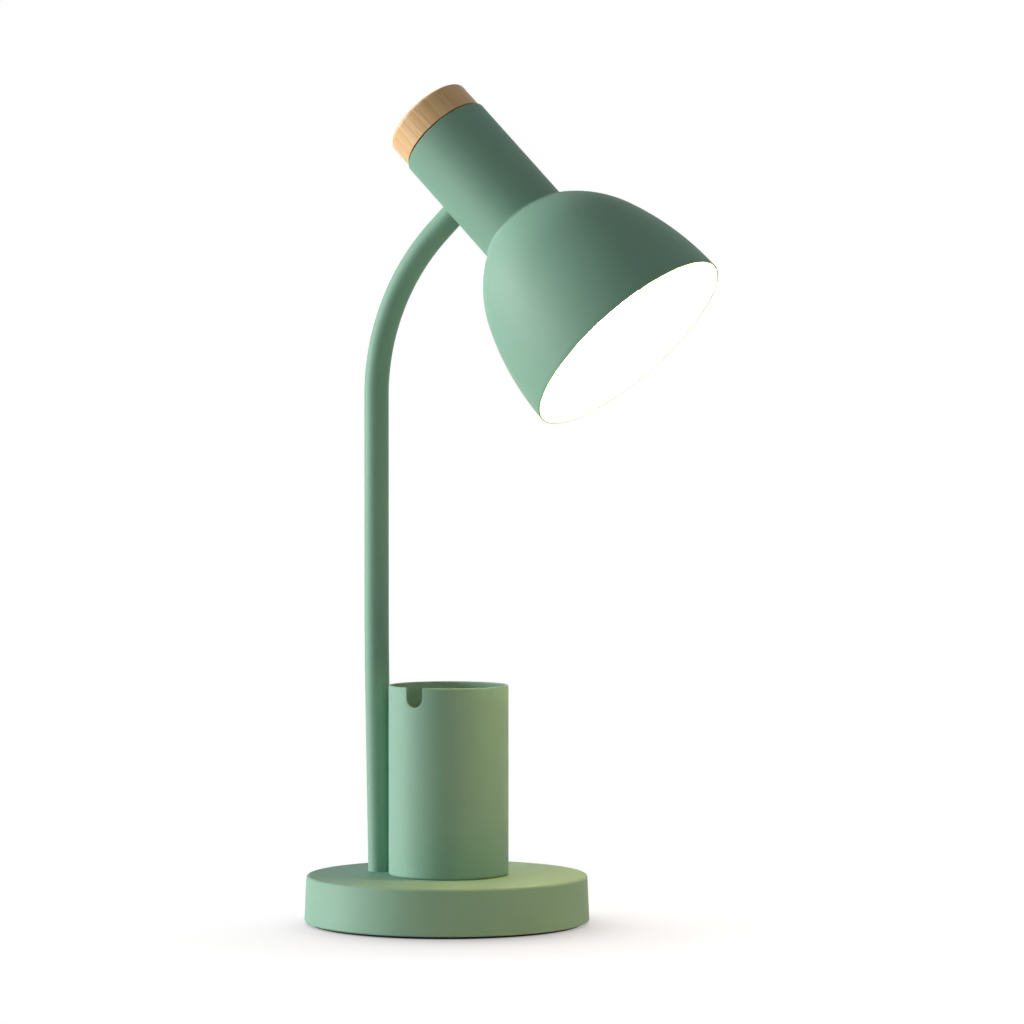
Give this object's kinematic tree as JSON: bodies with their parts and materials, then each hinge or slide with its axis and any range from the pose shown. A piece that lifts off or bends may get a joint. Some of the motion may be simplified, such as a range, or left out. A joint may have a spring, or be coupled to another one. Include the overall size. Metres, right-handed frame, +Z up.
{
  "type": "desk lamp with pen holder",
  "caption": "Desk lamp with a round weighted base, a pen cup, a flexible neck, a bell shade and a wooden rotary switch knob at the end of its head.",
  "frame": {"origin": "middle of the round foot, on the table", "axes": "+Z up, +X the side that the head faces, +Y to the lamp's left"},
  "size_m": [0.2424, 0.162, 0.4756],
  "materials": {
    "sage_paint": "matt sage green powder coat",
    "sage_sleeve": "matt sage green sleeve",
    "steel": "zinc-plated",
    "cast_iron": "rough cast",
    "black_rubber": "matt",
    "black_plastic": "moulded",
    "white_plastic": "moulded",
    "brass": "plain",
    "lead_jacket": "extruded jacket",
    "bulb_aluminium": "pressed",
    "bulb_insulator": "glassy black",
    "opal": "opal diffuser, lit warm white",
    "beech": "oiled, fine grain along the head's axis"
  },
  "bodies": {
    "base": {"base_cover": "sage_paint", "base_weight": "cast_iron", "base_plate": "steel", "foot_pad": "black_rubber", "base_standoffs": "steel", "base_screws": "steel", "cable_grommet": "black_rubber", "terminal_block": "white_plastic", "terminal_screws": "brass", "base_lead": "lead_jacket", "pen_cup": "sage_paint", "cup_screws": "steel", "cup_nuts": "steel", "foot_ferrule": "steel", "foot_nut": "steel", "neck_sleeve_0": "sage_sleeve"},
    "neck_1": {"neck_sleeve_1": "sage_sleeve", "neck_core_1": "steel", "neck_lead_1": "lead_jacket"},
    "neck_2": {"neck_sleeve_2": "sage_sleeve", "neck_core_2": "steel", "neck_lead_2": "lead_jacket"},
    "neck_3": {"neck_sleeve_3": "sage_sleeve", "neck_core_3": "steel", "neck_lead_3": "lead_jacket"},
    "neck_4": {"neck_sleeve_4": "sage_sleeve", "neck_core_4": "steel", "neck_lead_4": "lead_jacket"},
    "neck_5": {"neck_sleeve_5": "sage_sleeve", "neck_core_5": "steel", "neck_lead_5": "lead_jacket"},
    "neck_6": {"neck_sleeve_6": "sage_sleeve", "neck_core_6": "steel", "neck_lead_6": "lead_jacket"},
    "head": {"neck_sleeve_7": "sage_sleeve", "head_ferrule": "steel", "head_nut": "steel", "head_lead": "lead_jacket", "head_tube": "sage_paint", "shade": "sage_paint", "shade_ring": "black_plastic", "lampholder": "black_plastic", "holder_shell": "brass", "holder_contact": "brass", "bulb_contact": "brass", "bulb_insulator": "bulb_insulator", "bulb_cap": "bulb_aluminium", "bulb_housing": "white_plastic", "bulb_globe": "opal", "switch_plate": "black_plastic", "switch_body": "black_plastic", "switch_nut": "steel", "switch_leads": "lead_jacket"},
    "knob": {"knob": "beech", "switch_shaft": "steel"}
  },
  "joints": [
    {"name": "neck_bend_1", "type": "hinge", "parent": "base", "child": "neck_1", "pos_m": [-0.04303, 0, 0.0477], "axis": [0, 1, 0], "range_deg": [-25, 0]},
    {"name": "neck_sway_1", "type": "hinge", "parent": "neck_1", "child": "neck_2", "pos_m": [-0.04416, 0, 0.10623], "axis": [0.9998, 0, 0.0192], "range_deg": [-25, 25]},
    {"name": "neck_bend_2", "type": "hinge", "parent": "neck_2", "child": "neck_3", "pos_m": [-0.04501, 0, 0.16478], "axis": [0, 1, 0], "range_deg": [-25, 25]},
    {"name": "neck_sway_2", "type": "hinge", "parent": "neck_3", "child": "neck_4", "pos_m": [-0.04505, 0, 0.22333], "axis": [1, 0, 0], "range_deg": [-25, 25]},
    {"name": "neck_bend_3", "type": "hinge", "parent": "neck_4", "child": "neck_5", "pos_m": [-0.04505, 0, 0.28188], "axis": [0, 1, 0], "range_deg": [-25, 25]},
    {"name": "neck_sway_3", "type": "hinge", "parent": "neck_5", "child": "neck_6", "pos_m": [-0.03873, 0, 0.33976], "axis": [0.9511, 0, -0.3088], "range_deg": [-25, 25]},
    {"name": "neck_bend_4", "type": "hinge", "parent": "neck_6", "child": "head", "pos_m": [-0.00887, 0, 0.38955], "axis": [0, 1, 0], "range_deg": [-25, 25]},
    {"name": "knob_turn", "type": "hinge", "parent": "head", "child": "knob", "pos_m": [-0.00034, 0, 0.44569], "axis": [0.6959, 0, -0.7181], "range_deg": [0, 90]}
  ]
}
